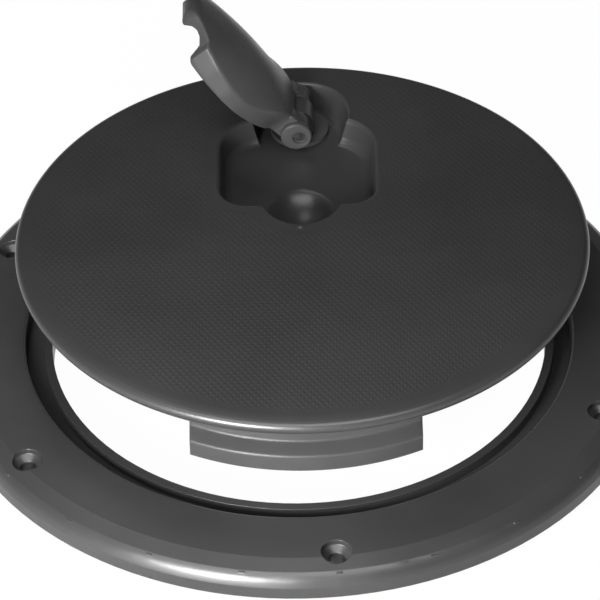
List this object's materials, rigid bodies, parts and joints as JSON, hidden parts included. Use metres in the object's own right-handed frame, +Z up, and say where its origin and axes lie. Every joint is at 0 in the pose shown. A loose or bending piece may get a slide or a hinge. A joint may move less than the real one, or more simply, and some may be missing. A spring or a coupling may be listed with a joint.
{
  "type": "inspection cover",
  "caption": "Round screw-down inspection cover: a flanged deck ring with a sealed lift-off lid, hooked by a tongue at the front and drawn tight by a turning cam lever in a pocket.",
  "frame": {"origin": "centre of the ring's seat on the deck, on the ring's axis, at the underside of the flange", "axes": "+Z up out of the deck along the ring's axis, -Y towards the lid's tongue at the front, +X to the right seen from the front"},
  "size_m": [0.233, 0.233, 0.0955],
  "materials": {
    "ring": "satin",
    "cover": "satin",
    "tongue": "satin",
    "lever": "gloss",
    "latch": "satin",
    "seal": "matte",
    "bearing": "satin",
    "steel": "brushed"
  },
  "bodies": {
    "ring": {"deck_ring": "ring"},
    "lid": {"lid": "cover", "lid_gasket": "seal", "front_tongue": "tongue", "post_bush": "bearing"},
    "swivel": {"thrust_washer": "bearing"},
    "post": {"latch_post": "latch", "post_seal_ring": "seal", "latch_dog": "steel", "dog_washer": "steel", "dog_nut": "steel"},
    "lever": {"cam_lever": "lever", "pivot_pin": "steel"}
  },
  "joints": [
    {"name": "lid_lift", "type": "slide", "parent": "ring", "child": "lid", "axis": [0.0588, 0.3219, 0.9449], "range_m": [-0.02889, 0.04]},
    {"name": "swivel_turn", "type": "hinge", "parent": "lid", "child": "swivel", "pos_m": [0.0017, 0.0765, 0.0344], "axis": [0, 0, 1], "range_deg": [0, 90]},
    {"name": "post_draw", "type": "slide", "parent": "swivel", "child": "post", "axis": [0, 0, 1], "range_m": [0, 0.00111]},
    {"name": "lever_fold", "type": "hinge", "parent": "post", "child": "lever", "pos_m": [0.0017, 0.0765, 0.03919], "axis": [0, -1, 0], "range_deg": [0, 50.6]}
  ],
  "couplings": [
    {"joint": "post_draw", "follows": "swivel_turn", "m_per_rad": 0.00070391},
    {"joint": "lever_fold", "follows": "swivel_turn", "ratio": 0.56111}
  ]
}
